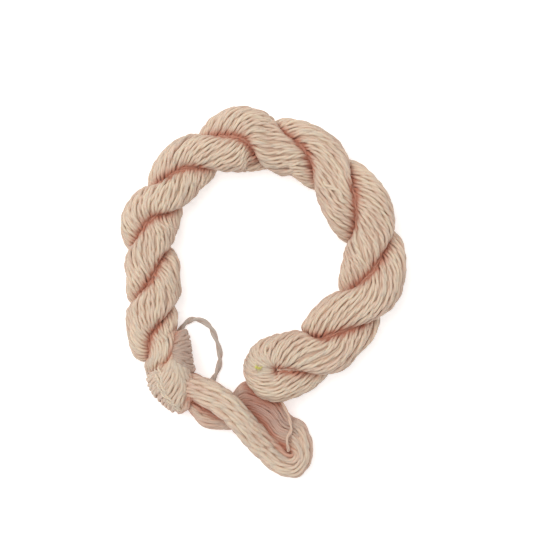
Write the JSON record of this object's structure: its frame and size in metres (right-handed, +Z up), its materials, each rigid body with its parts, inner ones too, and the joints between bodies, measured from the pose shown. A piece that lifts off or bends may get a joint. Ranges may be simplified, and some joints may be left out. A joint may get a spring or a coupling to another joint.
{
  "type": "hank of wool silk yarn",
  "caption": "Small hank of two-ply yarn, twisted and folded into a two-strand rope laid in an open ring, with a collar, a looped tail and one loose loop.",
  "frame": {"origin": "centre of the hank's outline seen from above, on the surface that it lies on", "axes": "+Z up from the surface, +Y from the tail towards the far side of the ring, +X towards the rope's folded end"},
  "size_m": [0.0803, 0.1044, 0.0147],
  "materials": {
    "yarn": "soft matte wool with a slight silk sheen, pale peach beige"
  },
  "bodies": {
    "root": {"hank": "yarn", "loose_loop": "yarn"}
  },
  "joints": []
}
